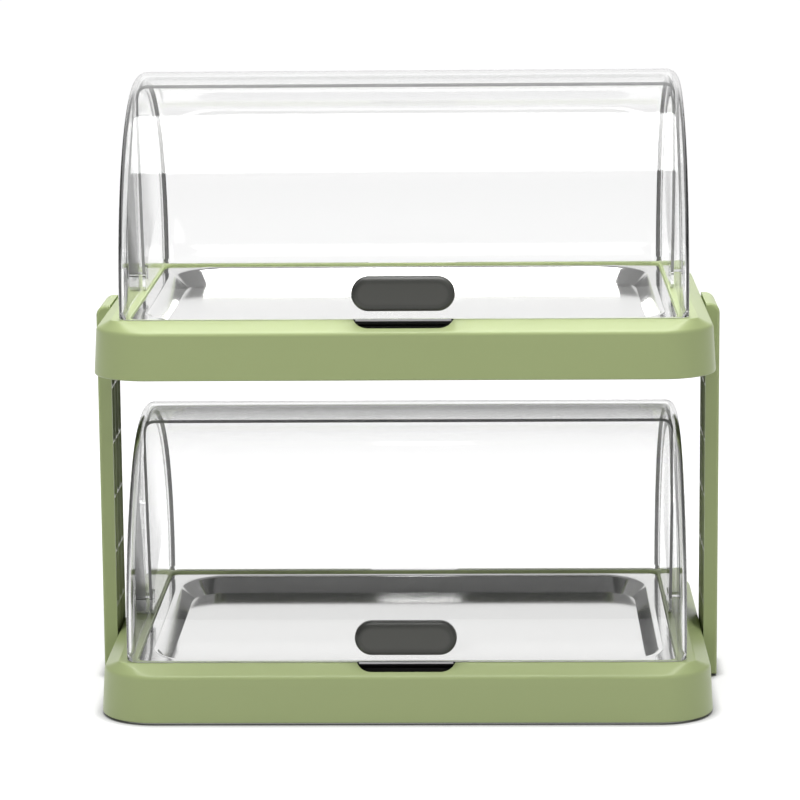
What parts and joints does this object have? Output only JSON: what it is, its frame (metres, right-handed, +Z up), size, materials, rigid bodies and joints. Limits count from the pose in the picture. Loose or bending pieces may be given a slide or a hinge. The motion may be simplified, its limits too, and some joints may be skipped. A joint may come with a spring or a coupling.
{
  "type": "two-tier display case",
  "caption": "Countertop display case with stacked base frames, steel food trays over cold packs, and clear roll-top covers between side posts",
  "frame": {"origin": "on the table under the middle of the case", "axes": "+Z up, front (the handles) towards -Y, +X to the right seen from the front"},
  "size_m": [0.4584, 0.3238, 0.451],
  "materials": {
    "green_plastic": "satin moulded green",
    "clear_plastic": "clear, polished",
    "black_plastic": "matt black",
    "grey_plastic": "satin dark grey",
    "stainless_steel": "fine brushed stainless",
    "blue_plastic": "satin blue",
    "zinc_steel": "zinc plated",
    "black_rubber": "matt rubber"
  },
  "bodies": {
    "root": {"lower_base_frame": "green_plastic", "lower_inner_tub": "black_plastic", "lower_tub_screw_1": "zinc_steel", "lower_tub_screw_2": "zinc_steel", "lower_tub_screw_3": "zinc_steel", "lower_tub_screw_4": "zinc_steel", "lower_cold_pack_left": "blue_plastic", "lower_cold_pack_right": "blue_plastic", "lower_pivot_bracket_left": "clear_plastic", "lower_pivot_bracket_right": "clear_plastic", "lower_pivot_pin_left": "clear_plastic", "lower_pivot_pin_right": "clear_plastic", "upper_base_frame": "green_plastic", "upper_inner_tub": "black_plastic", "upper_tub_screw_1": "zinc_steel", "upper_tub_screw_2": "zinc_steel", "upper_tub_screw_3": "zinc_steel", "upper_tub_screw_4": "zinc_steel", "upper_cold_pack_left": "blue_plastic", "upper_cold_pack_right": "blue_plastic", "upper_pivot_bracket_left": "clear_plastic", "upper_pivot_bracket_right": "clear_plastic", "upper_pivot_pin_left": "clear_plastic", "upper_pivot_pin_right": "clear_plastic", "side_post_left": "green_plastic", "post_screw_left_1": "zinc_steel", "post_screw_left_2": "zinc_steel", "post_screw_left_3": "zinc_steel", "post_screw_left_4": "zinc_steel", "side_post_right": "green_plastic", "post_screw_right_1": "zinc_steel", "post_screw_right_2": "zinc_steel", "post_screw_right_3": "zinc_steel", "post_screw_right_4": "zinc_steel", "foot_1": "black_rubber", "foot_2": "black_rubber", "foot_3": "black_rubber", "foot_4": "black_rubber"},
    "lower_front_cover": {"lower_front_shell": "clear_plastic", "lower_handle": "grey_plastic", "lower_handle_screw_left": "zinc_steel", "lower_handle_screw_right": "zinc_steel"},
    "lower_rear_cover": {"lower_rear_shell": "clear_plastic"},
    "lower_tray": {"lower_food_tray": "stainless_steel"},
    "upper_front_cover": {"upper_front_shell": "clear_plastic", "upper_handle": "grey_plastic", "upper_handle_screw_left": "zinc_steel", "upper_handle_screw_right": "zinc_steel"},
    "upper_rear_cover": {"upper_rear_shell": "clear_plastic"},
    "upper_tray": {"upper_food_tray": "stainless_steel"}
  },
  "joints": [
    {"name": "lower_front_cover_hinge", "type": "hinge", "parent": "root", "child": "lower_front_cover", "pos_m": [0, 0, 0.056], "axis": [-1, 0, 0], "range_deg": [0, 88]},
    {"name": "lower_rear_cover_hinge", "type": "hinge", "parent": "root", "child": "lower_rear_cover", "pos_m": [0, 0, 0.056], "axis": [1, 0, 0], "range_deg": [0, 80]},
    {"name": "lower_tray_lift", "type": "slide", "parent": "root", "child": "lower_tray", "axis": [0, 0, 1], "range_m": [0, 0.025]},
    {"name": "upper_front_cover_hinge", "type": "hinge", "parent": "root", "child": "upper_front_cover", "pos_m": [0, 0, 0.303], "axis": [-1, 0, 0], "range_deg": [0, 88]},
    {"name": "upper_rear_cover_hinge", "type": "hinge", "parent": "root", "child": "upper_rear_cover", "pos_m": [0, 0, 0.303], "axis": [1, 0, 0], "range_deg": [0, 80]},
    {"name": "upper_tray_lift", "type": "slide", "parent": "root", "child": "upper_tray", "axis": [0, 0, 1], "range_m": [0, 0.025]}
  ]
}
